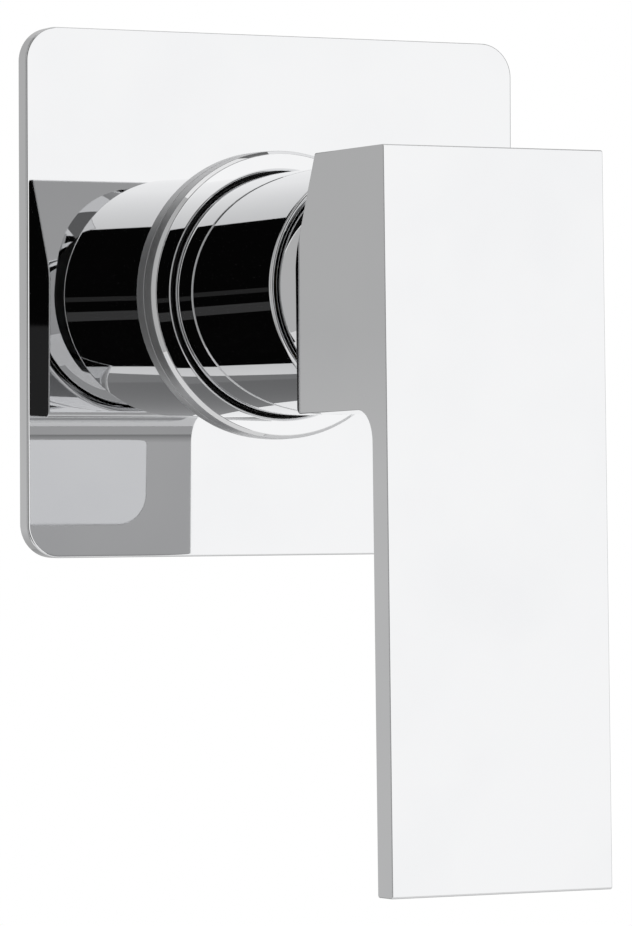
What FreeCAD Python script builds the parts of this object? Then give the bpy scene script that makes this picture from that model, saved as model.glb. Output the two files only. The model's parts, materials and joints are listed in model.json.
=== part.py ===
import FreeCAD, Part
import math
import os

from FreeCAD import Vector

# Concealed single-lever shower mixer: wall plate, ring, sleeve and flat lever in front of the
# wall, brass body and ceramic cartridge behind and inside them.
# Frame: millimetres, +Z up, front towards -Y, origin on the sleeve axis in the plane of the
# finished wall. "Out" is the distance from that plane towards the room, so y = -out.
# The lever's own frame has its origin at the lift pivot: "reach" runs out along the stem.

# Wall plate and its gasket
PLATE_WIDTH = 103.4
PLATE_HEIGHT = 100.0
PLATE_DEPTH = 3.5
PLATE_CORNER = 6.5
PLATE_EDGE_ROUND = 0.45
PLATE_SHEET = 1.5
PLATE_RIM = 1.6
PLATE_HOLE_GAP = 0.5
GASKET_WIDTH = 5.0
GASKET_GAP = 0.2

# Ring against the plate, and the rubber seal inside it
RING_RADIUS = 27.7
RING_HEIGHT = 4.1
RING_TAPER = 0.1
RING_BEVEL = 0.66
RING_BEVEL_DROP = 0.85
RING_ROUND = 0.3
RING_INNER_ROUND = 0.7
RING_GAP = 0.4
SEAL_HEIGHT = 1.4
SEAL_GROOVE = 0.9
SEAL_BACK = 1.0
SEAL_GAP = 0.05

# Sleeve
SLEEVE_RADIUS = 23.2
SLEEVE_WALL = 0.8
SLEEVE_LIP = 1.25
SLEEVE_LIP_DEPTH = 3.6
SLEEVE_END_ROUND = 0.55
SLEEVE_ROLL = 0.8
SLEEVE_ROLL_DROP = 0.11
SLEEVE_ROLL_ROUND = 3.0
SLEEVE_TAIL = 1.0
SLEEVE_EDGE_ROUND = 0.2

# Dome cap behind the lever
DOME_GAP = 0.15
DOME_FLANGE = 3.1
DOME_SHOULDER = 0.3
DOME_WALL = 1.2
DOME_HOLE_RADIUS = 14.5

# Cartridge, stacked outwards from its seat in the body
CARTRIDGE_RADIUS = 17.4
CHAMBER_GAP = 0.2
SEAT_OUT = 10.0
BASE_HEIGHT = 8.0
FIXED_DISC_HEIGHT = 4.0
MOVING_DISC_HEIGHT = 4.0
CARRIER_HEIGHT = 6.5
TURRET_GAP = 0.3
TURRET_FLANGE_HEIGHT = 3.2
HOUSING_GAP = 0.1
HOUSING_TOP = 2.5
HOUSING_WALL = 2.0
NUT_HEIGHT = 4.8
NUT_GAP = 0.1
NUT_RIM = 1.3
NUT_SLOT_WIDTH = 4.0
NUT_SLOT_DEPTH = 2.0
NUT_SLOTS = 4
THREAD_RELIEF = 0.2

# Ports between the body and the cartridge
INLET_PORT_X = 6.5
INLET_PORT_Z = -5.5
INLET_PORT_RADIUS = 3.0
OUTLET_PORT_Z = 6.0
OUTLET_PORT_RADIUS = 3.5
PORT_SEAL_WALL = 1.5
PORT_SEAL_GAP = 0.05
LOCATING_PIN_RADIUS = 1.6
LOCATING_PIN_LENGTH = 2.5
LOCATING_PIN_X = 12.5
LOCATING_PIN_Z = 8.0
LOCATING_GAP = 0.1
DISC_KEY_RADIUS = 1.2
DISC_KEY_HEIGHT = 2.5
DISC_KEY_INSET = 1.0

# Discs and carrier
FIXED_DISC_GAP = 0.3
MOVING_DISC_RADIUS = 11.5
CARRIER_RADIUS = 11.8
CARRIER_PLATE = 2.5
CARRIER_BLOCK = 11.0
CARRIER_PEG_RADIUS = 1.5
CARRIER_PEG_LENGTH = 1.2
CARRIER_PEG_X = 8.6
MIXING_LAND = 0.6
MIXING_DEPTH = 2.5
SLIDE_GAP = 0.35

# Turret that turns in the housing
TURN_LIMIT = 50.0
TURRET_RADIUS = 12.0
TURRET_SIDE_GAP = 0.4
TURRET_RISE = 9.0
TURRET_RAIL_WIDTH = 3.0
TURRET_RAIL_LENGTH = 20.0
STOP_RIB_ANGLE = 8.0
STOP_RIB_DEPTH = 1.8
STOP_GAP_ANGLE = 1.5
PIVOT_RISE = 0.9
PIVOT_PIN_RADIUS = 2.0
PIVOT_PIN_GAP = 0.05
PIVOT_PIN_INSET = 0.6

# Lever stem
LIFT_LIMIT = 22.0
REST_TILT = 1.16
STEM_SIZE = 8.0
STEM_EDGE = 0.8
STEM_REACH = 41.0
STEM_FOOT = 4.5
STEM_NECK_RADIUS = 2.2
STEM_BALL_RADIUS = 3.0
STEM_BALL_HEIGHT = 4.5
BALL_GAP = 0.4
STEM_SWING_GAP = 0.5

# Handle: block over the sleeve and flat blade below it
HANDLE_WIDTH = 43.8
HANDLE_LENGTH = 131.3
HANDLE_TOP = 22.1
HANDLE_SIDE_DRAFT = 0.67
HANDLE_TOP_DRAFT = 1.05
BLOCK_STANDOFF = 19.0
BLOCK_DEPTH = 34.8
BLOCK_HEIGHT = 46.0
BLOCK_SLANT_START = 4.6
BLOCK_SLANT_DEPTH = 8.35
BLOCK_SLANT_ROUND = 12.0
BLOCK_BACK_ROUND = 1.2
BLADE_THICKNESS = 5.5
BLADE_FILLET = 5.7
HANDLE_EDGE_ROUND = 0.5
HANDLE_SIDE_ROUND = 0.2
POCKET_RADIUS = 21.3
POCKET_DEPTH = 9.2

# Adapter, grub screw and plug inside the handle
ADAPTER_RADIUS = 8.0
ADAPTER_GAP = 0.1
ADAPTER_LENGTH = 17.0
SOCKET_END_GAP = 0.5
SCREW_RADIUS = 2.5
SCREW_LENGTH = 10.0
SCREW_GAP = 0.05
SCREW_INSET = 6.5
SCREW_KEY = 2.5
SCREW_KEY_DEPTH = 3.5
PLUG_RADIUS = 3.5
PLUG_LENGTH = 3.0
PLUG_GAP = 0.1
PLUG_ROUND = 0.6

# Brass body behind the wall plate
BODY_RADIUS = 23.0
BODY_FRONT_DEPTH = 6.0
BODY_EDGE_ROUND = 0.8
NECK_GAP = 0.5
PIPE_DEPTH = 18.0
PIPE_BOSS_RADIUS = 13.0
PIPE_THREAD_RADIUS = 9.3
PIPE_BORE_RADIUS = 6.0
PIPE_HEX = 26.0
PIPE_END_LENGTH = 13.0
PIPE_BORE_OVERLAP = 3.5
INLET_REACH = 37.0
OUTLET_REACH = 40.0
LUG_SPACING = 44.0
LUG_Z = -24.0
LUG_RADIUS = 6.5
LUG_HEIGHT = 6.0
LUG_HOLE_RADIUS = 2.6
O_RING_SECTION = 0.85
O_RING_SEAT = 0.02
O_RING_DEPTH = 1.3
O_RING_SIDE_GAP = 0.2
O_RING_OUTS = (14.0, 31.0)

# Radii and depths that follow from the pieces they fit
sleeve_bore = SLEEVE_RADIUS - SLEEVE_WALL
lip_radius = SLEEVE_RADIUS - SLEEVE_LIP
neck_radius = sleeve_bore - NECK_GAP
ring_bore = SLEEVE_RADIUS + RING_GAP
chamber_radius = CARTRIDGE_RADIUS + CHAMBER_GAP
nut_radius = CARTRIDGE_RADIUS + NUT_RIM
mouth_radius = nut_radius + NUT_GAP
housing_bore = CARTRIDGE_RADIUS - HOUSING_WALL
housing_mouth = TURRET_RADIUS + TURRET_SIDE_GAP
turret_flange_radius = housing_bore - TURRET_SIDE_GAP
stop_radius = housing_bore - STOP_RIB_DEPTH
body_back = PIPE_DEPTH + max(PIPE_BOSS_RADIUS, PIPE_HEX / 2)
inlet_bore_x = INLET_PORT_X - PIPE_BORE_OVERLAP
inlet_stub_x = INLET_REACH - PIPE_END_LENGTH
outlet_bore_z = OUTLET_PORT_Z + OUTLET_PORT_RADIUS - PIPE_BORE_OVERLAP
outlet_stub_z = OUTLET_REACH - PIPE_END_LENGTH

# Stack of the cartridge and trim along the axis
base_top = SEAT_OUT + BASE_HEIGHT
fixed_disc_top = base_top + FIXED_DISC_HEIGHT
moving_disc_top = fixed_disc_top + MOVING_DISC_HEIGHT
carrier_top = moving_disc_top + CARRIER_HEIGHT
turret_foot = carrier_top + TURRET_GAP
turret_flange_top = turret_foot + TURRET_FLANGE_HEIGHT
housing_ceiling = turret_flange_top + HOUSING_GAP
housing_top = housing_ceiling + HOUSING_TOP
nut_top = housing_top + NUT_HEIGHT
neck_end = nut_top + NUT_GAP
dome_flange_top = neck_end + DOME_FLANGE
sleeve_end = dome_flange_top + SLEEVE_LIP_DEPTH

# Lever geometry about the pivot
pivot_out = housing_top + PIVOT_RISE
ball_arm = pivot_out - moving_disc_top - STEM_BALL_HEIGHT
ball_rest_z = -ball_arm * math.sin(math.radians(REST_TILT))
ball_open_z = -ball_arm * math.sin(math.radians(REST_TILT + LIFT_LIMIT))
disc_travel = ball_rest_z - ball_open_z
disc_rest_z = disc_travel / 2
dome_base = lip_radius - DOME_GAP
dome_radius = math.hypot(dome_base, sleeve_end - DOME_SHOULDER - pivot_out)
handle_front = BLOCK_STANDOFF + BLOCK_DEPTH
handle_bottom = HANDLE_TOP - HANDLE_LENGTH
block_under = HANDLE_TOP - BLOCK_HEIGHT
stem_half = STEM_SIZE / 2
screw_out = pivot_out + STEM_REACH - SCREW_INSET

PORTS = {
    "hot": (-INLET_PORT_X, INLET_PORT_Z, INLET_PORT_RADIUS),
    "cold": (INLET_PORT_X, INLET_PORT_Z, INLET_PORT_RADIUS),
    "outlet": (0.0, OUTLET_PORT_Z, OUTLET_PORT_RADIUS),
}
# Where each pipe's bore starts, its stub ends and its threaded end stops, as (x, z)
PIPES = {
    "hot_inlet": ((-inlet_bore_x, INLET_PORT_Z), (-inlet_stub_x, INLET_PORT_Z),
                  (-INLET_REACH, INLET_PORT_Z)),
    "cold_inlet": ((inlet_bore_x, INLET_PORT_Z), (inlet_stub_x, INLET_PORT_Z),
                   (INLET_REACH, INLET_PORT_Z)),
    "outlet": ((0.0, outlet_bore_z), (0.0, outlet_stub_z), (0.0, OUTLET_REACH)),
}
AXIS = Vector(0, 1, 0)
FLAT = 1e-4


def place(x, out, z):
    return Vector(x, -out, z)


def rounded_wire(corners, to_space):
    """Closed wire through (u, v) corners; a third number rounds that corner by its radius."""
    edges = []
    runs = []
    count = len(corners)
    for index, corner in enumerate(corners):
        point = Vector(corner[0], corner[1], 0)
        before = Vector(*corners[index - 1][:2], 0)
        after = Vector(*corners[(index + 1) % count][:2], 0)
        radius = corner[2] if len(corner) == 3 else 0
        if radius == 0:
            runs.append((point, point))
            continue
        back = (before - point).normalize()
        ahead = (after - point).normalize()
        half = back.getAngle(ahead) / 2
        start = point + back * (radius / math.tan(half))
        end = point + ahead * (radius / math.tan(half))
        inward = (back + ahead).normalize()
        middle = point + inward * (radius / math.sin(half) - radius)
        arc = Part.Arc(*[to_space(p.x, p.y) for p in (start, middle, end)])
        edges.append(arc.toShape())
        runs.append((start, end))
    for index in range(count):
        start = runs[index - 1][1]
        end = runs[index][0]
        edges.append(Part.LineSegment(to_space(start.x, start.y), to_space(end.x, end.y)).toShape())
    return Part.Wire(Part.__sortEdges__(edges))


def turned(corners):
    """Solid turned about the sleeve axis from (radius, out) corners."""
    wire = rounded_wire(corners, lambda radius, out: place(radius, out, 0))
    return Part.Face(wire).revolve(Vector(), AXIS, 360)


def tube(outer, inner, out_from, out_to):
    return turned([(inner, out_from), (outer, out_from), (outer, out_to), (inner, out_to)])


def sector(outer, inner, out_from, out_to, half_angle):
    """Piece of a tube centred below the axis, half_angle degrees to each side."""
    corners = [(inner, out_from), (outer, out_from), (outer, out_to), (inner, out_to)]
    wire = rounded_wire(corners, lambda radius, out: place(radius, out, 0))
    piece = Part.Face(wire).revolve(Vector(), AXIS, 2 * half_angle)
    piece.rotate(Vector(), AXIS, 90 - half_angle)
    return piece


def rod(radius, start, end):
    return Part.makeCylinder(radius, (end - start).Length, start, end - start)


def drill(radius, x, z, out_from, out_to):
    """Round rod along the axis direction, through (x, z)."""
    return rod(radius, place(x, out_from, z), place(x, out_to, z))


def bar(width, z_low, z_high, out_from, out_to):
    """Box centred on x = 0."""
    size = (width, out_to - out_from, z_high - z_low)
    return Part.makeBox(*size, place(-width / 2, out_to, z_low))


def rounded_slab(width, height, corner, out_from, out_to):
    half_w = width / 2
    half_h = height / 2
    corners = [(-half_w, -half_h, corner), (half_w, -half_h, corner),
               (half_w, half_h, corner), (-half_w, half_h, corner)]
    wire = rounded_wire(corners, lambda x, z: place(x, out_from, z))
    return Part.Face(wire).extrude(place(0, out_to - out_from, 0))


def hexagon(across, start, end, flat_towards):
    """Six-sided prism from start to end with one flat facing flat_towards."""
    axis = (end - start).normalize()
    side = axis.cross(flat_towards).normalize()
    radius = across / 2 / math.cos(math.pi / 6)
    corners = []
    for step in range(7):
        angle = math.radians(30 + 60 * step)
        corners.append(start + flat_towards * (radius * math.cos(angle)) + side * (radius * math.sin(angle)))
    return Part.Face(Part.makePolygon(corners)).extrude(end - start)


def edges_at_out(shape, out):
    """Edges that lie wholly in the plane at this distance from the wall."""
    return [edge for edge in shape.Edges
            if abs(edge.BoundBox.YMin + out) < FLAT and abs(edge.BoundBox.YMax + out) < FLAT]


def lean(shape):
    """Turns a lever piece about the pivot to the rest tilt, blade end away from the wall."""
    shape.rotate(place(0, pivot_out, 0), Vector(-1, 0, 0), REST_TILT)
    return shape


# Trim in front of the wall

def make_wall_plate():
    plate = rounded_slab(PLATE_WIDTH, PLATE_HEIGHT, PLATE_CORNER, 0, PLATE_DEPTH)
    plate = plate.makeFillet(PLATE_EDGE_ROUND, edges_at_out(plate, PLATE_DEPTH))
    hollow = rounded_slab(PLATE_WIDTH - 2 * PLATE_RIM, PLATE_HEIGHT - 2 * PLATE_RIM,
                          PLATE_CORNER - PLATE_RIM, 0, PLATE_DEPTH - PLATE_SHEET)
    hole = drill(SLEEVE_RADIUS + PLATE_HOLE_GAP, 0, 0, 0, PLATE_DEPTH)
    return plate.cut([hollow, hole])


def make_plate_gasket():
    inset = PLATE_RIM + GASKET_GAP
    inner_inset = inset + GASKET_WIDTH
    depth = PLATE_DEPTH - PLATE_SHEET
    outer = rounded_slab(PLATE_WIDTH - 2 * inset, PLATE_HEIGHT - 2 * inset, PLATE_CORNER - inset, 0, depth)
    inner = rounded_slab(PLATE_WIDTH - 2 * inner_inset, PLATE_HEIGHT - 2 * inner_inset,
                         PLATE_CORNER - inset, 0, depth)
    return outer.cut(inner)


def make_flange_ring():
    front = PLATE_DEPTH + RING_HEIGHT
    shoulder = RING_RADIUS - RING_TAPER
    ring = turned([(ring_bore, PLATE_DEPTH), (RING_RADIUS, PLATE_DEPTH),
                   (shoulder, front - RING_BEVEL_DROP, RING_ROUND),
                   (shoulder - RING_BEVEL, front, RING_ROUND), (ring_bore, front, RING_INNER_ROUND)])
    groove_back = PLATE_DEPTH + SEAL_BACK - SEAL_GAP
    groove_front = PLATE_DEPTH + SEAL_BACK + SEAL_HEIGHT + SEAL_GAP
    groove = tube(ring_bore + SEAL_GROOVE, SLEEVE_RADIUS, groove_back, groove_front)
    return ring.cut(groove)


def make_flange_seal():
    back = PLATE_DEPTH + SEAL_BACK
    outer = ring_bore + SEAL_GROOVE - SEAL_GAP
    return tube(outer, SLEEVE_RADIUS + SEAL_GAP, back, back + SEAL_HEIGHT)


def make_sleeve():
    return turned([(sleeve_bore, -SLEEVE_TAIL), (SLEEVE_RADIUS, -SLEEVE_TAIL, SLEEVE_EDGE_ROUND),
                   (SLEEVE_RADIUS, sleeve_end - SLEEVE_ROLL, SLEEVE_ROLL_ROUND),
                   (SLEEVE_RADIUS - SLEEVE_ROLL_DROP, sleeve_end, SLEEVE_END_ROUND),
                   (lip_radius, sleeve_end, SLEEVE_EDGE_ROUND),
                   (lip_radius, dome_flange_top), (sleeve_bore, dome_flange_top)])


def make_dome_cap():
    inner_radius = dome_radius - DOME_WALL
    flange_bore = dome_base - DOME_WALL
    flange_edge = sleeve_bore - DOME_GAP

    def on_sphere(radius, sphere):
        return (radius, pivot_out + math.sqrt(sphere ** 2 - radius ** 2))

    def arc(start, end, sphere):
        middle = on_sphere((start[0] + end[0]) / 2, sphere)
        return Part.Arc(*[place(radius, out, 0) for radius, out in (start, middle, end)]).toShape()

    def line(start, end):
        return Part.LineSegment(place(*start, 0), place(*end, 0)).toShape()

    shoulder = on_sphere(dome_base, dome_radius)
    rim_outside = on_sphere(DOME_HOLE_RADIUS, dome_radius)
    rim_inside = on_sphere(DOME_HOLE_RADIUS, inner_radius)
    spring = on_sphere(flange_bore, inner_radius)
    corners = [spring, (flange_bore, neck_end), (flange_edge, neck_end),
               (flange_edge, dome_flange_top), (dome_base, dome_flange_top), shoulder]
    edges = [line(start, end) for start, end in zip(corners, corners[1:])]
    edges += [arc(shoulder, rim_outside, dome_radius), line(rim_outside, rim_inside),
              arc(rim_inside, spring, inner_radius)]
    return Part.Face(Part.Wire(edges)).revolve(Vector(), AXIS, 360)


# Brass body in the wall

def pipe_points(pipe):
    return [place(x, -PIPE_DEPTH, z) for x, z in PIPES[pipe]]


def make_valve_body():
    core = turned([(0, -body_back), (BODY_RADIUS, -body_back, BODY_EDGE_ROUND),
                   (BODY_RADIUS, -BODY_FRONT_DEPTH, BODY_EDGE_ROUND),
                   (neck_radius, -BODY_FRONT_DEPTH), (neck_radius, neck_end), (0, neck_end)])
    solids = []
    holes = [drill(chamber_radius, 0, 0, SEAT_OUT, neck_end),
             drill(mouth_radius, 0, 0, housing_top - THREAD_RELIEF, neck_end)]
    for pipe in PIPES:
        bore_start, stub_end = pipe_points(pipe)[:2]
        solids.append(rod(PIPE_BOSS_RADIUS, bore_start, stub_end))
        holes.append(rod(PIPE_BORE_RADIUS, bore_start, stub_end))
    for x, z, radius in PORTS.values():
        holes.append(drill(radius, x, z, -PIPE_DEPTH, SEAT_OUT))
    for side in (-1, 1):
        pin_depth = SEAT_OUT - LOCATING_PIN_LENGTH - LOCATING_GAP
        holes.append(drill(LOCATING_PIN_RADIUS + LOCATING_GAP, side * LOCATING_PIN_X, LOCATING_PIN_Z,
                           pin_depth, SEAT_OUT))
        lug_x = side * LUG_SPACING / 2
        lug_front = LUG_HEIGHT - body_back
        solids.append(drill(LUG_RADIUS, lug_x, LUG_Z, -body_back, lug_front))
        holes.append(drill(LUG_HOLE_RADIUS, lug_x, LUG_Z, -body_back, lug_front))
    solids.append(bar(LUG_SPACING, LUG_Z - LUG_RADIUS, INLET_PORT_Z, -body_back,
                      LUG_HEIGHT - body_back))
    half_groove = O_RING_SECTION + O_RING_SIDE_GAP
    groove_floor = neck_radius - O_RING_DEPTH
    for out in O_RING_OUTS:
        holes.append(tube(sleeve_bore, groove_floor, out - half_groove, out + half_groove))
    return core.fuse(solids).removeSplitter().cut(holes)


def make_pipe_end(pipe):
    """Six-sided threaded end that sits on the flat end of the body's stub."""
    stub_end, end = pipe_points(pipe)[1:]
    return hexagon(PIPE_HEX, stub_end, end, AXIS).cut(rod(PIPE_THREAD_RADIUS, stub_end, end))


def make_sleeve_o_rings():
    ring_radius = neck_radius - O_RING_DEPTH + O_RING_SEAT + O_RING_SECTION
    rings = [Part.makeTorus(ring_radius, O_RING_SECTION, place(0, out, 0), AXIS) for out in O_RING_OUTS]
    return Part.makeCompound(rings)


# Cartridge

def make_cartridge_base():
    base = drill(CARTRIDGE_RADIUS, 0, 0, SEAT_OUT, base_top)
    posts = []
    for side in (-1, 1):
        posts.append(drill(LOCATING_PIN_RADIUS, side * LOCATING_PIN_X, LOCATING_PIN_Z,
                           SEAT_OUT - LOCATING_PIN_LENGTH, base_top))
        posts.append(drill(DISC_KEY_RADIUS, side * disc_key_x(), 0, SEAT_OUT, base_top + DISC_KEY_HEIGHT))
    holes = [drill(radius + PORT_SEAL_WALL + PORT_SEAL_GAP, x, z, SEAT_OUT, base_top)
             for x, z, radius in PORTS.values()]
    return base.fuse(posts).cut(holes)


def disc_key_x():
    return housing_bore - FIXED_DISC_GAP - DISC_KEY_INSET


def make_port_seal(port):
    x, z, radius = PORTS[port]
    outside = drill(radius + PORT_SEAL_WALL, x, z, SEAT_OUT, base_top)
    return outside.cut(drill(radius, x, z, SEAT_OUT, base_top))


def make_fixed_disc():
    disc = drill(housing_bore - FIXED_DISC_GAP, 0, 0, base_top, fixed_disc_top)
    holes = [drill(radius, x, z, base_top, fixed_disc_top) for x, z, radius in PORTS.values()]
    for side in (-1, 1):
        holes.append(drill(DISC_KEY_RADIUS + LOCATING_GAP, side * disc_key_x(), 0, base_top,
                           base_top + DISC_KEY_HEIGHT + LOCATING_GAP))
    return disc.cut(holes)


def make_moving_disc():
    disc = drill(MOVING_DISC_RADIUS, 0, disc_rest_z, fixed_disc_top, moving_disc_top)
    pocket_low = INLET_PORT_Z + INLET_PORT_RADIUS + MIXING_LAND
    pocket_high = OUTLET_PORT_Z + OUTLET_PORT_RADIUS
    pocket = bar(2 * INLET_PORT_X, pocket_low, pocket_high, fixed_disc_top, fixed_disc_top + MIXING_DEPTH)
    holes = [pocket]
    for side in (-1, 1):
        holes.append(drill(CARRIER_PEG_RADIUS + LOCATING_GAP, side * CARRIER_PEG_X, disc_rest_z,
                           moving_disc_top - CARRIER_PEG_LENGTH - LOCATING_GAP, moving_disc_top))
    return disc.cut(holes)


def make_disc_carrier():
    plate_top = moving_disc_top + CARRIER_PLATE
    plate = drill(CARRIER_RADIUS, 0, disc_rest_z, moving_disc_top, plate_top)
    half = CARRIER_BLOCK / 2
    solids = [bar(CARRIER_BLOCK, ball_rest_z - half, ball_rest_z + half, moving_disc_top, carrier_top)]
    for side in (-1, 1):
        solids.append(drill(CARRIER_PEG_RADIUS, side * CARRIER_PEG_X, disc_rest_z,
                            moving_disc_top - CARRIER_PEG_LENGTH, plate_top))
    socket_floor = moving_disc_top + STEM_BALL_HEIGHT - STEM_BALL_RADIUS - BALL_GAP
    socket = drill(STEM_BALL_RADIUS + BALL_GAP, 0, ball_rest_z, socket_floor, carrier_top)
    return plate.fuse(solids).cut(socket)


def make_cartridge_housing():
    shell = tube(CARTRIDGE_RADIUS, housing_bore, base_top, housing_top)
    top = tube(housing_bore, housing_mouth, housing_ceiling, housing_top)
    rib = sector(housing_bore, stop_radius, turret_foot, housing_ceiling, STOP_RIB_ANGLE)
    return shell.fuse([top, rib]).removeSplitter()


def make_cartridge_nut():
    nut = tube(nut_radius, housing_mouth + TURRET_SIDE_GAP, housing_top, nut_top)
    slots = []
    for step in range(NUT_SLOTS):
        corner = place(0, nut_top, -NUT_SLOT_WIDTH / 2)
        slot = Part.makeBox(nut_radius, NUT_SLOT_DEPTH, NUT_SLOT_WIDTH, corner)
        slot.rotate(Vector(), AXIS, 360 * (step + 0.5) / NUT_SLOTS)
        slots.append(slot)
    return nut.cut(slots)


def make_turret():
    flange = drill(turret_flange_radius, 0, 0, turret_foot, turret_flange_top)
    hub = drill(TURRET_RADIUS, 0, 0, turret_flange_top, turret_flange_top + TURRET_RISE)
    rail_foot = moving_disc_top + CARRIER_PLATE + TURRET_GAP
    rail_inner = CARRIER_BLOCK / 2 + SLIDE_GAP
    rails = []
    for left in (-rail_inner - TURRET_RAIL_WIDTH, rail_inner):
        rails.append(Part.makeBox(TURRET_RAIL_WIDTH, turret_foot - rail_foot, TURRET_RAIL_LENGTH,
                                  place(left, turret_foot, -TURRET_RAIL_LENGTH / 2)))
    body = flange.fuse([hub] + rails).removeSplitter()
    steepest = math.radians(REST_TILT + LIFT_LIMIT)
    top_reach = turret_flange_top + TURRET_RISE - pivot_out
    slot_high = stem_half / math.cos(steepest) + top_reach * math.tan(steepest) + STEM_SWING_GAP
    ball_low = ball_open_z - STEM_BALL_RADIUS
    corner_low = -stem_half * math.cos(steepest) - STEM_FOOT * math.sin(steepest)
    slot_low = min(ball_low, corner_low) - STEM_SWING_GAP
    slot = bar(STEM_SIZE + 2 * SLIDE_GAP, slot_low, slot_high, turret_foot, turret_flange_top + TURRET_RISE)
    notch = sector(turret_flange_radius, stop_radius - TURRET_SIDE_GAP, turret_foot, turret_flange_top,
                   TURN_LIMIT + STOP_RIB_ANGLE + STOP_GAP_ANGLE)
    pin_hole = rod(PIVOT_PIN_RADIUS, place(-TURRET_RADIUS, pivot_out, 0), place(TURRET_RADIUS, pivot_out, 0))
    return body.cut([slot, notch, pin_hole])


def make_pivot_pin():
    half = TURRET_RADIUS - PIVOT_PIN_INSET
    return rod(PIVOT_PIN_RADIUS, place(-half, pivot_out, 0), place(half, pivot_out, 0))


# Lever, drawn straight and then leaned to its rest tilt

def make_lever_stem():
    shank = bar(STEM_SIZE, -stem_half, stem_half, pivot_out - STEM_FOOT, pivot_out + STEM_REACH)
    long_edges = [edge for edge in shank.Edges if edge.BoundBox.YLength > STEM_SIZE]
    shank = shank.makeChamfer(STEM_EDGE, long_edges)
    ball_out = pivot_out - ball_arm
    neck = drill(STEM_NECK_RADIUS, 0, 0, ball_out, pivot_out - STEM_FOOT)
    ball = Part.makeSphere(STEM_BALL_RADIUS, place(0, ball_out, 0), AXIS)
    pin_hole = rod(PIVOT_PIN_RADIUS + PIVOT_PIN_GAP, place(-stem_half, pivot_out, 0),
                   place(stem_half, pivot_out, 0))
    return lean(shank.fuse([neck, ball]).removeSplitter().cut(pin_hole))


def make_stem_adapter():
    back = pivot_out + STEM_REACH + SOCKET_END_GAP - ADAPTER_LENGTH
    adapter = drill(ADAPTER_RADIUS, 0, 0, back, back + ADAPTER_LENGTH)
    socket_half = stem_half + ADAPTER_GAP
    socket = bar(2 * socket_half, -socket_half, socket_half, back, pivot_out + STEM_REACH)
    screw_hole = rod(SCREW_RADIUS + SCREW_GAP, place(0, screw_out, 0), place(0, screw_out, -ADAPTER_RADIUS))
    return lean(adapter.cut([socket, screw_hole]))


def make_handle():
    blade_back = handle_front - BLADE_THICKNESS
    slant_top = BLOCK_STANDOFF + BLOCK_SLANT_DEPTH
    back_top = HANDLE_TOP + (handle_front - slant_top) * math.tan(math.radians(HANDLE_TOP_DRAFT))
    corners = [(handle_front, handle_bottom, HANDLE_EDGE_ROUND),
               (handle_front, HANDLE_TOP, HANDLE_EDGE_ROUND),
               (slant_top, back_top, HANDLE_EDGE_ROUND),
               (BLOCK_STANDOFF, BLOCK_SLANT_START, BLOCK_SLANT_ROUND),
               (BLOCK_STANDOFF, block_under, BLOCK_BACK_ROUND), (blade_back, block_under, BLADE_FILLET),
               (blade_back, handle_bottom, HANDLE_EDGE_ROUND)]
    half_front = HANDLE_WIDTH / 2
    half_back = half_front + BLOCK_DEPTH * math.tan(math.radians(HANDLE_SIDE_DRAFT))
    wire = rounded_wire(corners, lambda reach, z: place(-half_back, pivot_out + reach, z))
    slab = Part.Face(wire).extrude(Vector(2 * half_back, 0, 0))
    plan = [place(x, pivot_out + reach, handle_bottom)
            for x, reach in ((-half_front, handle_front), (half_front, handle_front),
                             (half_back, BLOCK_STANDOFF), (-half_back, BLOCK_STANDOFF))]
    taper = Part.Face(Part.makePolygon(plan + plan[:1])).extrude(Vector(0, 0, back_top - handle_bottom))
    body = slab.common(taper)
    side_edges = [edge for edge in body.Edges if edge.BoundBox.XMin * edge.BoundBox.XMax > 0]
    body = body.makeFillet(HANDLE_SIDE_ROUND, side_edges)
    pocket = drill(POCKET_RADIUS, 0, 0, pivot_out, pivot_out + BLOCK_STANDOFF + POCKET_DEPTH)
    socket = drill(ADAPTER_RADIUS + ADAPTER_GAP, 0, 0, pivot_out, pivot_out + STEM_REACH + SOCKET_END_GAP)
    screw_hole = rod(SCREW_RADIUS + SCREW_GAP, place(0, screw_out, 0), place(0, screw_out, block_under))
    plug_hole = rod(PLUG_RADIUS + PLUG_GAP, place(0, screw_out, block_under + PLUG_LENGTH + PLUG_GAP),
                    place(0, screw_out, block_under))
    return lean(body.cut([pocket, socket, screw_hole, plug_hole]))


def make_grub_screw():
    tip = place(0, screw_out, -stem_half)
    end = place(0, screw_out, -stem_half - SCREW_LENGTH)
    key = hexagon(SCREW_KEY, end + Vector(0, 0, SCREW_KEY_DEPTH), end, AXIS)
    return lean(rod(SCREW_RADIUS, tip, end).cut(key))


def make_screw_plug():
    plug = rod(PLUG_RADIUS, place(0, screw_out, block_under + PLUG_LENGTH), place(0, screw_out, block_under))
    rim = [edge for edge in plug.Edges
           if edge.BoundBox.ZLength < FLAT and abs(edge.CenterOfMass.z - block_under) < FLAT]
    return lean(plug.makeFillet(PLUG_ROUND, rim))


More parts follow.
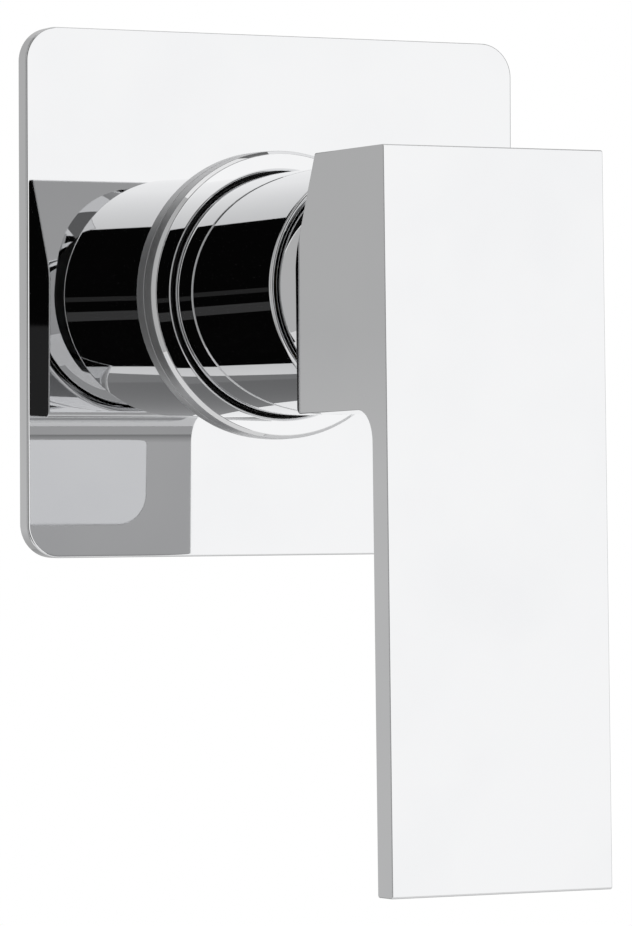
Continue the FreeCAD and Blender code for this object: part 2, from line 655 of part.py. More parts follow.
nodes = {
    "wall_plate": make_wall_plate(),
    "plate_gasket": make_plate_gasket(),
    "flange_ring": make_flange_ring(),
    "flange_seal": make_flange_seal(),
    "sleeve": make_sleeve(),
    "sleeve_o_rings": make_sleeve_o_rings(),
    "dome_cap": make_dome_cap(),
    "valve_body": make_valve_body(),
    "cartridge_base": make_cartridge_base(),
    "fixed_disc": make_fixed_disc(),
    "cartridge_housing": make_cartridge_housing(),
    "cartridge_nut": make_cartridge_nut(),
    "turret": make_turret(),
    "pivot_pin": make_pivot_pin(),
    "moving_disc": make_moving_disc(),
    "disc_carrier": make_disc_carrier(),
    "lever_stem": make_lever_stem(),
    "stem_adapter": make_stem_adapter(),
    "handle": make_handle(),
    "grub_screw": make_grub_screw(),
    "screw_plug": make_screw_plug(),
}
for port in PORTS:
    nodes[port + "_port_seal"] = make_port_seal(port)
for pipe in PIPES:
    nodes[pipe + "_end"] = make_pipe_end(pipe)

os.makedirs("parts", exist_ok=True)
for name, shape in nodes.items():
    shape.exportStep("parts/" + name + ".step")
    state = "valid" if shape.isValid() else "NOT VALID"
    print(name, state, len(shape.Solids), "solids", round(shape.Volume), "mm3")
print("pivot", round(pivot_out, 3), "mm out, disc travel", round(disc_travel, 4), "mm")
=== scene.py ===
import json
import math

import bmesh
import bpy
from mathutils import Matrix, Vector


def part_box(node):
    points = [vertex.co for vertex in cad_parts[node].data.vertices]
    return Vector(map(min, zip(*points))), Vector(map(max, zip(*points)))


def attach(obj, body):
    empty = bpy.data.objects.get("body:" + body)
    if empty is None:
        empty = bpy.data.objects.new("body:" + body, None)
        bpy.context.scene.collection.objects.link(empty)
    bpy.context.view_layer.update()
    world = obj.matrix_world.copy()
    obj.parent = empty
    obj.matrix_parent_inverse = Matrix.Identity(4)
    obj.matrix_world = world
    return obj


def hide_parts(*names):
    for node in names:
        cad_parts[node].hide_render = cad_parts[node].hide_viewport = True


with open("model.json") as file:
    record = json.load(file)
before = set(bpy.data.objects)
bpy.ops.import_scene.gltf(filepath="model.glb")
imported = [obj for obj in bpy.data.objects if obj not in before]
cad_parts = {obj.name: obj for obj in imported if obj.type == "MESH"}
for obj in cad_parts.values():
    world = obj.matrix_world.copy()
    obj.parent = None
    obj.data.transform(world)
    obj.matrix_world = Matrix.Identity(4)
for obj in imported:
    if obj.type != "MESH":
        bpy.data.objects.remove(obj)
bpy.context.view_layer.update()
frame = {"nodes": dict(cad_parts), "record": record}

# Sizes in millimetres, as in the part's source; "out" is the distance from the wall towards the room.
# The plate's front edge is set closer to the photo. The foam, the seal and the ring's foot get small rounds.
MM = 0.001
PLATE_DEPTH = 3.5
PLATE_CORNER = 6.5
PLATE_EDGE_ROUND = 0.7
PLATE_EDGE_PROFILE = 0.68
PLATE_SHEET = 1.5
PLATE_RIM = 1.6
PLATE_HOLE_RADIUS = 23.7
PLATE_HOLE_SPAN = (-5.0, 10.0)
GASKET_WIDTH = 5.0
GASKET_CORNER = 4.7
GASKET_EDGE_ROUND = 0.3

RING_RADIUS = 27.7
RING_BORE = 23.6
RING_HEIGHT = 4.1
RING_SHOULDER = 27.6
RING_BEVEL = 0.66
RING_BEVEL_DROP = 0.85
RING_ROUND = 0.3
RING_FOOT_ROUND = 0.15
RING_INNER_ROUND = 0.7
SEAL_OUTER = 24.45
SEAL_INNER = 23.2
SEAL_BACK = 4.5
SEAL_HEIGHT = 1.4
SEAL_GAP = 0.05
SEAL_ROUND = 0.4

SLEEVE_RADIUS = 23.2
SLEEVE_BORE = 22.4
SLEEVE_LIP = 21.95
SLEEVE_TAIL = 1.0
SLEEVE_END = 50.2
SLEEVE_END_ROUND = 0.55
SLEEVE_ROLL = 0.8
SLEEVE_ROLL_DROP = 0.11
SLEEVE_ROLL_ROUND = 3.0
SLEEVE_EDGE_ROUND = 0.2

NECK_END = 43.5
PIVOT_OUT = 39.5
DOME_WALL = 1.2
DOME_BASE = 21.8
DOME_SHOULDER = 49.9
DOME_RADIUS = math.hypot(DOME_BASE, DOME_SHOULDER - PIVOT_OUT)
DOME_FLANGE_EDGE = 22.25
DOME_FLANGE_TOP = 46.6
DOME_HOLE = 14.5

# The lever's sizes along its stem are from the pivot outwards
REST_TILT = math.radians(1.16)
HANDLE_WIDTH = 43.8
HANDLE_TOP = 22.1
HANDLE_BOTTOM = -109.2
HANDLE_FRONT = 53.8
HANDLE_SIDE_DRAFT = math.tan(math.radians(0.67))
HANDLE_TOP_DRAFT = math.tan(math.radians(1.05))
HANDLE_EDGE_ROUND = 0.5
HANDLE_SIDE_ROUND = 0.2
BLADE_BACK = 48.3
BLADE_FILLET = 5.7
BLOCK_BACK = 19.0
BLOCK_BACK_ROUND = 1.2
BLOCK_UNDER = -23.9
SLANT_START = 4.6
SLANT_TOP = 27.35
SLANT_ROUND = 12.0
POCKET_RADIUS = 21.3
POCKET_END = 28.2
SOCKET_RADIUS = 8.1
SOCKET_END = 41.5
SCREW_REACH = 34.5
SCREW_HOLE = 2.55
PLUG_HOLE = 3.6
PLUG_HOLE_DEPTH = 3.1
HOLE_OVERRUN = 1.0

# Fineness of the meshes
TURN_STEPS = 256
TOOL_STEPS = 192
ROUND_STEPS = 12
SEAL_ROUND_STEPS = 8
DOME_STEPS = 20
PLATE_CORNER_STEPS = 24
PLATE_EDGE_STEPS = 10
GASKET_CORNER_STEPS = 12
GASKET_EDGE_STEPS = 3
HANDLE_SIDE_STEPS = 6
CARD_STEPS = 360

# Tolerances in metres, angles in radians, and how squarely a face has to look at the wall
HIT = 2e-5
WELD = 1e-7
SMOOTH_ANGLE = math.radians(32)
SHARP_ANGLE = 1.0
FACING = 0.9


def place(x, out, z):
    return Vector((x, -out, z)) * MM


# Modelling by hand: one piece at a time in edit mode

def begin(name, add, **settings):
    """Adds a primitive with nothing else selected, sets its place in its mesh and opens it for editing."""
    bpy.ops.object.select_all(action="DESELECT")
    add(**settings)
    bpy.ops.object.transform_apply(location=True, rotation=True, scale=True)
    piece = bpy.context.object
    piece.name = name
    piece.data.name = name
    bpy.ops.object.mode_set(mode="EDIT")
    return piece


def leave_edit():
    bpy.ops.object.mode_set(mode="OBJECT")


def take(piece):
    """Makes a piece the active one, and the only one selected."""
    bpy.ops.object.select_all(action="DESELECT")
    piece.select_set(True)
    bpy.context.view_layer.objects.active = piece


def pick(kind, wanted):
    """Selects the vertices, edges or faces for which wanted holds."""
    bpy.ops.mesh.select_mode(type=kind)
    bpy.ops.mesh.select_all(action="DESELECT")
    data = bpy.context.edit_object.data
    shape = bmesh.from_edit_mesh(data)
    for item in {"VERT": shape.verts, "EDGE": shape.edges, "FACE": shape.faces}[kind]:
        if wanted(item):
            item.select_set(True)
    bmesh.update_edit_mesh(data)


def outline(name, corners):
    """Draws a closed outline corner by corner and fills it."""
    piece = begin(name, bpy.ops.mesh.primitive_plane_add, size=MM, location=corners[0])
    bpy.ops.mesh.merge(type="CENTER")
    for start, end in zip(corners, corners[1:]):
        bpy.ops.mesh.extrude_vertices_move(TRANSFORM_OT_translate={"value": end - start})
    bpy.ops.mesh.select_all(action="SELECT")
    bpy.ops.mesh.edge_face_add()
    return piece


def round_corners(corners, radii, steps):
    """Rounds the outline's corners, each by its own radius; a radius of 0 leaves the corner sharp."""
    count = len(corners)
    for index, radius in enumerate(radii):
        if radius == 0:
            continue
        corner = corners[index]
        half = (corners[index - 1] - corner).angle(corners[(index + 1) % count] - corner) / 2
        pick("VERT", lambda vert: (vert.co - corner).length < HIT)
        bpy.ops.mesh.bevel(offset_type="ABSOLUTE", offset=radius * MM / math.tan(half), segments=steps,
                           affect="VERTICES", profile=0.5)


def close_up():
    """Welds the mesh and turns its faces outwards."""
    bpy.ops.mesh.select_mode(type="VERT")
    bpy.ops.mesh.select_all(action="SELECT")
    bpy.ops.mesh.remove_doubles(threshold=WELD)
    bpy.ops.mesh.normals_make_consistent(inside=False)


def turn(name, corners, radii, steps=ROUND_STEPS):
    """Turns an outline of (radius, out) corners about the sleeve axis."""
    points = [place(radius, out, 0) for radius, out in corners]
    piece = outline(name, points)
    round_corners(points, radii, steps)
    bpy.ops.mesh.select_all(action="SELECT")
    bpy.ops.mesh.delete(type="ONLY_FACE")
    bpy.ops.mesh.select_all(action="SELECT")
    bpy.ops.mesh.spin(steps=TURN_STEPS, angle=2 * math.pi, center=(0, 0, 0), axis=(0, 1, 0))
    close_up()
    leave_edit()
    return piece


def apply(piece, kind, **settings):
    """Adds a modifier and applies it."""
    take(piece)
    modifier = piece.modifiers.new(kind.lower(), kind)
    for key, value in settings.items():
        setattr(modifier, key, value)
    bpy.ops.object.modifier_apply(modifier=modifier.name)


def cut(piece, tool):
    """Cuts the tool's shape out of a piece and deletes the tool."""
    apply(piece, "BOOLEAN", operation="DIFFERENCE", object=tool, solver="EXACT")
    bpy.data.objects.remove(tool)


def round_tool(radius, start, end):
    """Plain rod between two points, to cut a round hole with."""
    run = end - start
    tool = begin("tool", bpy.ops.mesh.primitive_cylinder_add, vertices=TOOL_STEPS, radius=radius * MM,
                 depth=run.length, location=(start + end) / 2,
                 rotation=Vector((0, 0, 1)).rotation_difference(run).to_euler())
    leave_edit()
    return tool


def dress(piece, body, node, slot, finish=None):
    """Smooths a finished piece, gives it its finish and stands it for its node on its body."""
    take(piece)
    bpy.ops.object.shade_smooth_by_angle(angle=SMOOTH_ANGLE)
    apply(piece, "WEIGHTED_NORMAL", mode="FACE_AREA", weight=100, keep_sharp=True)
    piece.data.materials.clear()
    piece.data.materials.append(FINISHES[finish or slot])
    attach(piece, body)
    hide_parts(node)


# Node boards for the finishes

class Wire:
    """A socket on a board; arithmetic on it adds Math nodes."""

    def __init__(self, board, socket):
        self.board = board
        self.socket = socket

    def maths(self, operation, first, second):
        return self.board.node("ShaderNodeMath", {"operation": operation}, {0: first, 1: second})

    def __add__(self, other):
        return self.maths("ADD", self, other)

    def __radd__(self, other):
        return self.maths("ADD", other, self)

    def __sub__(self, other):
        return self.maths("SUBTRACT", self, other)

    def __mul__(self, other):
        return self.maths("MULTIPLY", self, other)


class Board:
    """The nodes of one material, or of the world."""

    def __init__(self, owner):
        owner.use_nodes = True
        self.tree = owner.node_tree

    def node(self, kind, settings, sockets, output=0):
        made = self.tree.nodes.new(kind)
        for key, value in settings.items():
            setattr(made, key, value)
        for key, value in sockets.items():
            self.feed(made.inputs[key], value)
        return Wire(self, made.outputs[output])

    def feed(self, socket, value):
        if isinstance(value, Wire):
            self.tree.links.new(value.socket, socket)
        else:
            socket.default_value = value

    def shade(self, **sockets):
        shader = self.tree.nodes["Principled BSDF"]
        for key, value in sockets.items():
            self.feed(shader.inputs[key.replace("_", " ")], value)

    def show(self, shader):
        self.feed(self.tree.nodes["Material Output"].inputs["Surface"], shader)

    def spot(self):
        return self.node("ShaderNodeTexCoord", {}, {}, "Object")

    def axes(self):
        """The spot's x, y and z."""
        split = self.node("ShaderNodeSeparateXYZ", {}, {"Vector": self.spot()}).socket.node
        return [Wire(self, output) for output in split.outputs]

    def noise(self, scale, detail=2.0, stretch=None):
        spot = self.spot()
        if stretch is not None:
            spot = self.node("ShaderNodeMapping", {}, {"Vector": spot, "Scale": stretch})
        return self.node("ShaderNodeTexNoise", {}, {"Vector": spot, "Scale": scale, "Detail": detail})

    def grade(self, value, low, high):
        """Spreads the part of a pattern between low and high over 0 to 1."""
        return self.node("ShaderNodeMapRange", {}, {"Value": value, "From Min": low, "From Max": high})

    def blend(self, share, first, second):
        """Colour that goes from first to second as share goes from 0 to 1."""
        return self.node("ShaderNodeMix", {"data_type": "RGBA"}, {0: share, 6: first, 7: second}, 2)

    def bump(self, height, depth, strength=1.0):
        return self.node("ShaderNodeBump", {}, {"Height": height, "Distance": depth, "Strength": strength})

    def glow(self, colour):
        return self.node("ShaderNodeEmission", {}, {"Color": colour})


def grey(level):
    return (level, level, level, 1)


# Colours of the finishes; the plastics also have a roughness
CHROME = (0.77, 0.773, 0.78, 1)
CHROME_HAZE = (0.75, 0.754, 0.764, 1)
CHROME_DULL = (0.6, 0.602, 0.608, 1)
BRASS = (0.76, 0.57, 0.28, 1)
BRASS_TARNISH = (0.6, 0.42, 0.18, 1)
CERAMIC = (0.9, 0.89, 0.86, 1)
CERAMIC_SPECK = (0.8, 0.79, 0.76, 1)
FOAM_HOLE = grey(0.06)
FOAM_WALL = grey(0.13)
RUBBER = (0.025, 0.025, 0.026, 1)
RUBBER_BLOOM = grey(0.055)
STEEL = (0.62, 0.62, 0.63, 1)
STEEL_LINE = (0.48, 0.48, 0.5, 1)
PLASTICS = {
    "white_plastic": ((0.82, 0.82, 0.8, 1), (0.76, 0.76, 0.74, 1), 0.38),
    "grey_plastic": ((0.2, 0.21, 0.22, 1), (0.16, 0.17, 0.18, 1), 0.4),
    "plug_plastic": ((0.45, 0.46, 0.47, 1), (0.4, 0.41, 0.42, 1), 0.25),
}
# Depth of the plate's dish per squared distance, in metres, from a point this far up, in millimetres
DISH = 0.115
DISH_CENTRE = -49.0
# How far inside the ring's shoulder its dull side starts and is full, in millimetres
DULL_START = 0.1
DULL_FULL = 0.04
DULL_ROUGHNESS = 0.35


def finish_of(name):
    material = bpy.data.materials.new(name)
    return material, Board(material)


def chrome_base(name):
    """Polished chrome under a faint haze: its material, board, tint and roughness."""
    material, board = finish_of(name)
    haze = board.grade(board.noise(scale=38.0, detail=3.0), low=0.45, high=0.75)
    tint = board.blend(haze, CHROME, CHROME_HAZE)
    roughness = 0.012 + haze * 0.015
    board.shade(Base_Color=tint, Metallic=1.0, Roughness=roughness)
    return material, board, tint, roughness


def polished_chrome():
    return chrome_base("chrome")[0]


def dished_chrome():
    """Chrome of the pressed plate: a slight dish shifts what it mirrors and makes it larger."""
    material, board = chrome_base("plate_chrome")[:2]
    across, _, up = board.axes()
    up = up - DISH_CENTRE * MM
    board.shade(Normal=board.bump((across * across + up * up) * DISH, depth=1.0))
    return material


def turned_chrome():
    """Chrome of the ring, whose side is left dull as it was turned."""
    material, board, tint, roughness = chrome_base("ring_chrome")
    across, _, up = board.axes()
    start, full = (((RING_SHOULDER - inside) * MM) ** 2 for inside in (DULL_START, DULL_FULL))
    side = board.grade(across * across + up * up, start, full)
    board.shade(Base_Color=board.blend(side, tint, CHROME_DULL), Roughness=roughness + side * DULL_ROUGHNESS)
    return material


def cast_brass():
    material, board = finish_of("brass")
    grain = board.noise(scale=900.0, detail=3.0)
    tarnish = board.grade(board.noise(scale=60.0, detail=4.0), low=0.4, high=0.75)
    board.shade(Base_Color=board.blend(tarnish, BRASS, BRASS_TARNISH), Metallic=1.0,
                Roughness=0.3 + tarnish * 0.15 + grain * 0.06,
                Normal=board.bump(grain, depth=4e-5, strength=0.6))
    return material


def moulded_plastic(name, colour, shadow, roughness):
    material, board = finish_of(name)
    texture = board.noise(scale=2500.0)
    cloud = board.noise(scale=70.0)
    board.shade(Base_Color=board.blend(cloud, colour, shadow), Roughness=roughness + texture * 0.1,
                Normal=board.bump(texture, depth=1.5e-5, strength=0.5))
    return material


def ground_ceramic():
    material, board = finish_of("ceramic")
    speck = board.grade(board.noise(scale=1800.0), low=0.6, high=0.72)
    board.shade(Base_Color=board.blend(speck, CERAMIC, CERAMIC_SPECK), Roughness=0.14 + speck * 0.08)
    return material


def cell_foam():
    material, board = finish_of("foam")
    cells = board.node("ShaderNodeTexVoronoi", {}, {"Vector": board.spot(), "Scale": 1800.0})
    board.shade(Base_Color=board.blend(cells, FOAM_HOLE, FOAM_WALL), Roughness=0.85,
                Normal=board.bump(cells, depth=1.5e-4))
    return material


def seal_rubber():
    material, board = finish_of("rubber")
    bloom = board.grade(board.noise(scale=260.0, detail=4.0), low=0.45, high=0.8)
    board.shade(Base_Color=board.blend(bloom, RUBBER, RUBBER_BLOOM), Roughness=0.48 + bloom * 0.2,
                Normal=board.bump(board.noise(scale=1600.0), depth=1e-5))
    return material


def drawn_steel():
    material, board = finish_of("steel")
    drawn = board.noise(scale=900.0, detail=3.0, stretch=(0.05, 1.0, 1.0))
    board.shade(Base_Color=board.blend(drawn, STEEL, STEEL_LINE), Metallic=1.0,
                Roughness=0.22 + drawn * 0.18, Normal=board.bump(drawn, depth=8e-6))
    return material


FINISHES = {
    "chrome": polished_chrome(),
    "plate_chrome": dished_chrome(),
    "ring_chrome": turned_chrome(),
    "brass": cast_brass(),
    **{name: moulded_plastic(name, *look) for name, look in PLASTICS.items()},
    "ceramic": ground_ceramic(),
    "foam": cell_foam(),
    "rubber": seal_rubber(),
    "steel": drawn_steel(),
}


# Trim in front of the wall

def rounded_box(name, low, high, corner, steps):
    """Box with its four edges along y rounded, left open for editing."""
    piece = begin(name, bpy.ops.mesh.primitive_cube_add, size=1, location=(low + high) / 2, scale=high - low)
    pick("EDGE", lambda edge: abs(edge.verts[0].co.y - edge.verts[1].co.y) > HIT)
    bpy.ops.mesh.bevel(offset=corner * MM, segments=steps)
    return piece


def make_plate():
    low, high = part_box("wall_plate")
    piece = rounded_box("plate", low, high, PLATE_CORNER, PLATE_CORNER_STEPS)
    pick("EDGE", lambda edge: all(abs(vert.co.y - low.y) < HIT for vert in edge.verts))
    bpy.ops.mesh.bevel(offset=PLATE_EDGE_ROUND * MM, segments=PLATE_EDGE_STEPS, profile=PLATE_EDGE_PROFILE)
    pick("FACE", lambda face: face.normal.y > FACING)
    bpy.ops.mesh.inset(thickness=PLATE_RIM * MM, use_even_offset=True)
    hollow = (PLATE_DEPTH - PLATE_SHEET) * MM
    bpy.ops.mesh.extrude_region_move(TRANSFORM_OT_translate={"value": (0, -hollow, 0)})
    close_up()
    leave_edit()
    cut(piece, round_tool(PLATE_HOLE_RADIUS, *[place(0, out, 0) for out in PLATE_HOLE_SPAN]))
    dress(piece, "wall_unit", "wall_plate", "chrome", "plate_chrome")


def make_gasket():
    low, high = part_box("plate_gasket")
    inset = Vector((GASKET_WIDTH, -GASKET_WIDTH, GASKET_WIDTH)) * MM
    window = rounded_box("tool", low + inset, high - inset, GASKET_CORNER, GASKET_CORNER_STEPS)
    leave_edit()
    piece = rounded_box("foam_gasket", low, high, GASKET_CORNER, GASKET_CORNER_STEPS)
    leave_edit()
    cut(piece, window)
    bpy.ops.object.mode_set(mode="EDIT")

    def rim(edge):
        level = abs(edge.verts[0].co.y - edge.verts[1].co.y) < HIT
        return level and edge.calc_face_angle(0) > SHARP_ANGLE

    pick("EDGE", rim)
    bpy.ops.mesh.bevel(offset=GASKET_EDGE_ROUND * MM, segments=GASKET_EDGE_STEPS)
    close_up()
    leave_edit()
    dress(piece, "wall_unit", "plate_gasket", "foam")


def make_ring():
    front = PLATE_DEPTH + RING_HEIGHT
    groove_back = SEAL_BACK - SEAL_GAP
    groove_front = SEAL_BACK + SEAL_HEIGHT + SEAL_GAP
    groove = SEAL_OUTER + SEAL_GAP
    corners = [(RING_BORE, PLATE_DEPTH), (RING_RADIUS, PLATE_DEPTH), (RING_SHOULDER, front - RING_BEVEL_DROP),
               (RING_SHOULDER - RING_BEVEL, front), (RING_BORE, front), (RING_BORE, groove_front),
               (groove, groove_front), (groove, groove_back), (RING_BORE, groove_back)]
    radii = [0, RING_FOOT_ROUND, RING_ROUND, RING_ROUND, RING_INNER_ROUND, 0, 0, 0, 0]
    dress(turn("ring", corners, radii), "wall_unit", "flange_ring", "chrome", "ring_chrome")


def make_ring_seal():
    front = SEAL_BACK + SEAL_HEIGHT
    corners = [(SEAL_INNER, SEAL_BACK), (SEAL_OUTER, SEAL_BACK), (SEAL_OUTER, front), (SEAL_INNER, front)]
    piece = turn("ring_seal", corners, [SEAL_ROUND] * len(corners), SEAL_ROUND_STEPS)
    dress(piece, "wall_unit", "flange_seal", "rubber")


def make_sleeve():
    corners = [(SLEEVE_BORE, -SLEEVE_TAIL), (SLEEVE_RADIUS, -SLEEVE_TAIL),
               (SLEEVE_RADIUS, SLEEVE_END - SLEEVE_ROLL), (SLEEVE_RADIUS - SLEEVE_ROLL_DROP, SLEEVE_END),
               (SLEEVE_LIP, SLEEVE_END), (SLEEVE_LIP, DOME_FLANGE_TOP), (SLEEVE_BORE, DOME_FLANGE_TOP)]
    radii = [0, SLEEVE_EDGE_ROUND, SLEEVE_ROLL_ROUND, SLEEVE_END_ROUND, SLEEVE_EDGE_ROUND, 0, 0]
    dress(turn("sleeve_tube", corners, radii), "wall_unit", "sleeve", "chrome")


def make_dome():
    def arc(start, end, sphere):
        """Points on a sphere about the pivot, from one radius about the sleeve axis to another."""
        radii = [start + (end - start) * step / DOME_STEPS for step in range(DOME_STEPS + 1)]
        return [(radius, PIVOT_OUT + math.sqrt(sphere ** 2 - radius ** 2)) for radius in radii]

    flange_bore = DOME_BASE - DOME_WALL
    corners = [(flange_bore, NECK_END), (DOME_FLANGE_EDGE, NECK_END), (DOME_FLANGE_EDGE, DOME_FLANGE_TOP),
               (DOME_BASE, DOME_FLANGE_TOP)]
    corners += arc(DOME_BASE, DOME_HOLE, DOME_RADIUS) + arc(DOME_HOLE, flange_bore, DOME_RADIUS - DOME_WALL)
    dress(turn("dome", corners, [0] * len(corners)), "wall_unit", "dome_cap", "chrome")


# Lever, drawn straight and then leaned to its rest tilt

def make_handle():
    drawn = [(HANDLE_FRONT, HANDLE_BOTTOM), (HANDLE_FRONT, HANDLE_TOP),
             (SLANT_TOP, HANDLE_TOP + (HANDLE_FRONT - SLANT_TOP) * HANDLE_TOP_DRAFT),
             (BLOCK_BACK, SLANT_START), (BLOCK_BACK, BLOCK_UNDER), (BLADE_BACK, BLOCK_UNDER),
             (BLADE_BACK, HANDLE_BOTTOM)]
    radii = [HANDLE_EDGE_ROUND, HANDLE_EDGE_ROUND, HANDLE_EDGE_ROUND, SLANT_ROUND, BLOCK_BACK_ROUND,
             BLADE_FILLET, HANDLE_EDGE_ROUND]
    corners = [place(-HANDLE_WIDTH / 2 - (HANDLE_FRONT - reach) * HANDLE_SIDE_DRAFT, PIVOT_OUT + reach, z)
               for reach, z in drawn]
    piece = outline("lever", corners)
    round_corners(corners, radii, ROUND_STEPS)
    bpy.ops.mesh.select_all(action="SELECT")
    across = HANDLE_WIDTH * MM
    bpy.ops.mesh.extrude_region_move(TRANSFORM_OT_translate={"value": (across, 0, 0)})
    bpy.ops.transform.resize(value=(-1, 1, 1), center_override=(across / 2, 0, 0))
    close_up()
    pick("EDGE", lambda edge: edge.verts[0].co.x * edge.verts[1].co.x > 0)
    bpy.ops.mesh.bevel(offset=HANDLE_SIDE_ROUND * MM, segments=HANDLE_SIDE_STEPS)
    leave_edit()
    pivot = place(0, PIVOT_OUT, 0)
    screw_out = PIVOT_OUT + SCREW_REACH
    below = place(0, screw_out, BLOCK_UNDER - HOLE_OVERRUN)
    holes = [(POCKET_RADIUS, pivot, place(0, PIVOT_OUT + POCKET_END, 0)),
             (SOCKET_RADIUS, pivot, place(0, PIVOT_OUT + SOCKET_END, 0)),
             (SCREW_HOLE, below, place(0, screw_out, 0)),
             (PLUG_HOLE, below, place(0, screw_out, BLOCK_UNDER + PLUG_HOLE_DEPTH))]
    for hole in holes:
        cut(piece, round_tool(*hole))
    take(piece)
    bpy.ops.object.mode_set(mode="EDIT")
    bpy.ops.mesh.select_all(action="SELECT")
    bpy.ops.transform.rotate(value=REST_TILT, orient_axis="X", center_override=pivot)
    leave_edit()
    dress(piece, "lever", "handle", "chrome")


make_plate()
make_gasket()
make_ring()
make_ring_seal()
make_sleeve()
make_dome()
make_handle()

# Nodes that stay as they are take the finish of their slot
for part in frame["record"]["subparts"]:
    slots = frame["nodes"][part["node"]].data.materials
    slots.clear()
    slots.append(FINISHES[part["material_slot"]])


# Studio: pale floor, even light and cards for the chrome to mirror; metres, but the camera is in millimetres
CAMERA_AZIMUTH = math.radians(-26.074)
CAMERA_ELEVATION = math.radians(-0.048)
CAMERA_ROLL = math.radians(-0.193)
CAMERA_DISTANCE = 949.164
CAMERA_AIM = (8.636, 3.5, -32.235)
CAMERA_LENS = 191.2
FLOOR_SIZE = 6.0
FLOOR_HEIGHT = -0.75
FLOOR_FADE_START = 0.6
FLOOR_FADE_END = 2.8
FLOOR_COLOUR = grey(0.9)
WHITE = grey(1)
WORLD_LIGHT = 0.85
LAMP_SIZE = 1.2
LAMP_POWER = 5.0
LAMP_PLACE = (0.9, -1.5, 1.4)
ACROSS = 0
UP = 2


def set_camera():
    back = Vector((math.sin(CAMERA_AZIMUTH) * math.cos(CAMERA_ELEVATION),
                   -math.cos(CAMERA_AZIMUTH) * math.cos(CAMERA_ELEVATION), math.sin(CAMERA_ELEVATION)))
    level = Vector((0, 0, 1)).cross(back).normalized()
    upright = back.cross(level)
    right = math.cos(CAMERA_ROLL) * level + math.sin(CAMERA_ROLL) * upright
    up = back.cross(right)
    camera = bpy.data.objects.new("camera", bpy.data.cameras.new("camera"))
    bpy.context.scene.collection.objects.link(camera)
    turned = Matrix((right, up, back)).transposed().to_4x4()
    camera.matrix_world = Matrix.Translation(place(*CAMERA_AIM) + back * CAMERA_DISTANCE * MM) @ turned
    camera.data.lens = CAMERA_LENS
    bpy.context.scene.camera = camera


def set_floor():
    """Floor that takes the part's shadow near by and fades to white far away."""
    floor = begin("floor", bpy.ops.mesh.primitive_plane_add, size=FLOOR_SIZE, location=(0, 0, FLOOR_HEIGHT))
    leave_edit()
    material, board = finish_of("floor")
    board.shade(Base_Color=FLOOR_COLOUR, Roughness=0.8, Specular_IOR_Level=0.1)
    across, along, _ = board.axes()
    far = board.grade(across * across + along * along, FLOOR_FADE_START ** 2, FLOOR_FADE_END ** 2)
    near = Wire(board, board.tree.nodes["Principled BSDF"].outputs["BSDF"])
    board.show(board.node("ShaderNodeMixShader", {}, {0: far, 1: near, 2: board.glow(WHITE)}))
    floor.data.materials.append(material)


def set_world():
    """Even light, a little under the white that the camera and the chrome see."""
    world = bpy.data.worlds.new("studio")
    bpy.context.scene.world = world
    board = Board(world)
    backdrop = board.tree.nodes["Background"].inputs
    board.feed(backdrop["Color"], WHITE)
    rays = board.node("ShaderNodeLightPath", {}, {}).socket.node.outputs
    camera, glossy, through = (Wire(board, rays["Is " + kind + " Ray"])
                               for kind in ("Camera", "Glossy", "Transmission"))
    board.feed(backdrop["Strength"], WORLD_LIGHT + (camera + glossy + through) * (1 - WORLD_LIGHT))


def set_lamp():
    lamp = bpy.data.objects.new("key", bpy.data.lights.new("key", "AREA"))
    bpy.context.scene.collection.objects.link(lamp)
    lamp.data.size = LAMP_SIZE
    lamp.data.energy = LAMP_POWER
    lamp.location = LAMP_PLACE
    lamp.rotation_euler = (-lamp.location).to_track_quat("-Z", "Y").to_euler()
    lamp.visible_glossy = False


def even(level):
    """Glow of one level."""
    return lambda board: grey(level)


def fading(axis, *stops):
    """Glow that changes along an axis, through stops of a place and a level."""
    def colour_on(board):
        along = board.axes()[axis]
        colour = grey(stops[0][1])
        for (start, _), (end, level) in zip(stops, stops[1:]):
            colour = board.blend(board.grade(along, start, end), colour, grey(level))
        return colour

    return colour_on


def mirrored_only(piece, glow):
    """Lets a card glow and be seen only in reflections."""
    material, board = finish_of(piece.name)
    board.show(board.glow(glow(board)))
    piece.data.materials.append(material)
    piece.visible_camera = False
    piece.visible_diffuse = False
    piece.visible_shadow = False


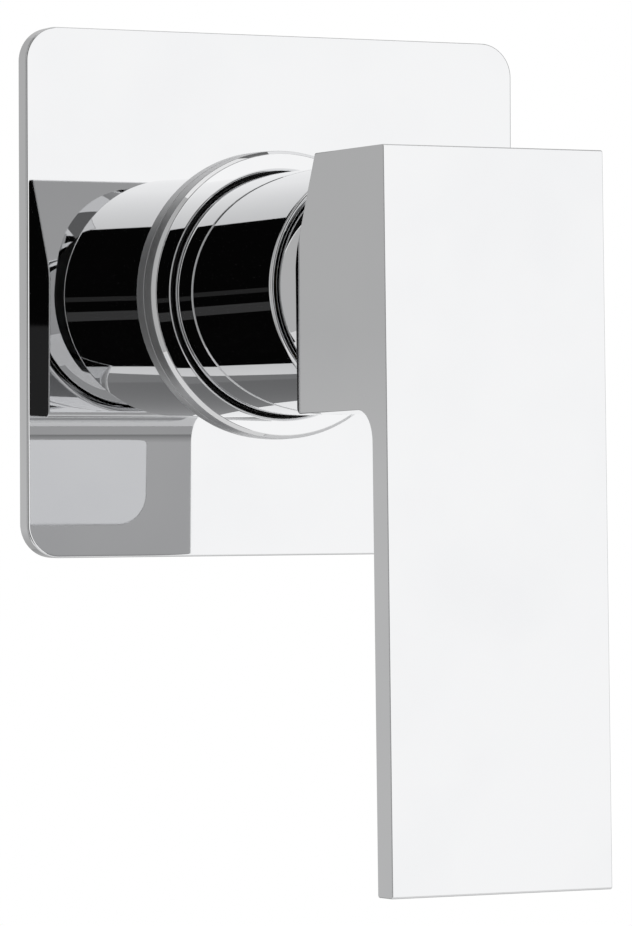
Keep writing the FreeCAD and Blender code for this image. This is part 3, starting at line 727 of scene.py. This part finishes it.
def card(name, azimuths, elevations, radius, glow):
    """Curved card around the part, between two azimuths and two elevations in degrees."""
    left, right = azimuths
    bottom, top = (radius * math.tan(math.radians(angle)) for angle in elevations)
    piece = begin(name, bpy.ops.mesh.primitive_cylinder_add, vertices=CARD_STEPS, radius=radius,
                  depth=top - bottom, location=(0, 0, (top + bottom) / 2), end_fill_type="NOTHING")

    def outside(face):
        spot = face.calc_center_median()
        azimuth = math.degrees(math.atan2(spot.x, -spot.y))
        return (azimuth - left) % 360 > right - left

    pick("FACE", outside)
    bpy.ops.mesh.delete(type="FACE")
    leave_edit()
    mirrored_only(piece, glow)


def flat_card(name, size, middle, glow):
    piece = begin(name, bpy.ops.mesh.primitive_plane_add, size=size, location=middle)
    leave_edit()
    mirrored_only(piece, glow)


set_camera()
set_floor()
set_world()
set_lamp()

# Cards in front, which the plate and the lever mirror, and the sleeve by way of the plate
card("white_card", (15, 70), (-45, 70), 1.3, even(1.174))
card("dark_side_card", (70, 88), (-45, 70), 1.3, even(0.15))
card("white_edge_card", (-9, 15), (-45, 70), 1.3, fading(ACROSS, (-0.2, 0.86), (0.13, 1.05), (0.33, 1.174)))
card("black_card", (-38, -9), (-55, 58), 1.2, even(0.002))
card("grey_left_card", (-99, -38), (-55, 60), 1.2, even(0.52))

# Cards at the sides and behind, which the sleeve and the edges mirror
card("black_back_card", (-110, -99), (-39, 72), 0.9, even(0.004))
card("black_top_card", (-125, -110), (33, 72), 0.9, even(0.004))
card("grey_back_card", (180, 250), (-36, 60), 1.0,
     fading(UP, (-0.72, 0.3), (-0.2, 0.58), (-0.04, 0.57), (0.02, 0.51), (1.7, 0.42)))
card("grey_right_card", (88, 180), (-36, 60), 1.0, fading(UP, (-0.72, 0.24), (0.0, 0.6), (1.7, 0.42)))

# The tripod and the lens, two faint bars in the black on the sleeve, and cards below and above
card("tripod_card", (-37, -17), (-9, -5.5), 1.1, even(0.05))
card("lens_card", (-37, -17), (-1.5, 0.3), 1.1, even(0.025))
flat_card("grey_low_card", 1.1, (0.1, 0.65, -0.7), even(0.5))
flat_card("dark_top_card", 0.9, (0.05, -0.6, 1.4), even(0.2))
bpy.context.scene.view_settings.view_transform = "Standard"
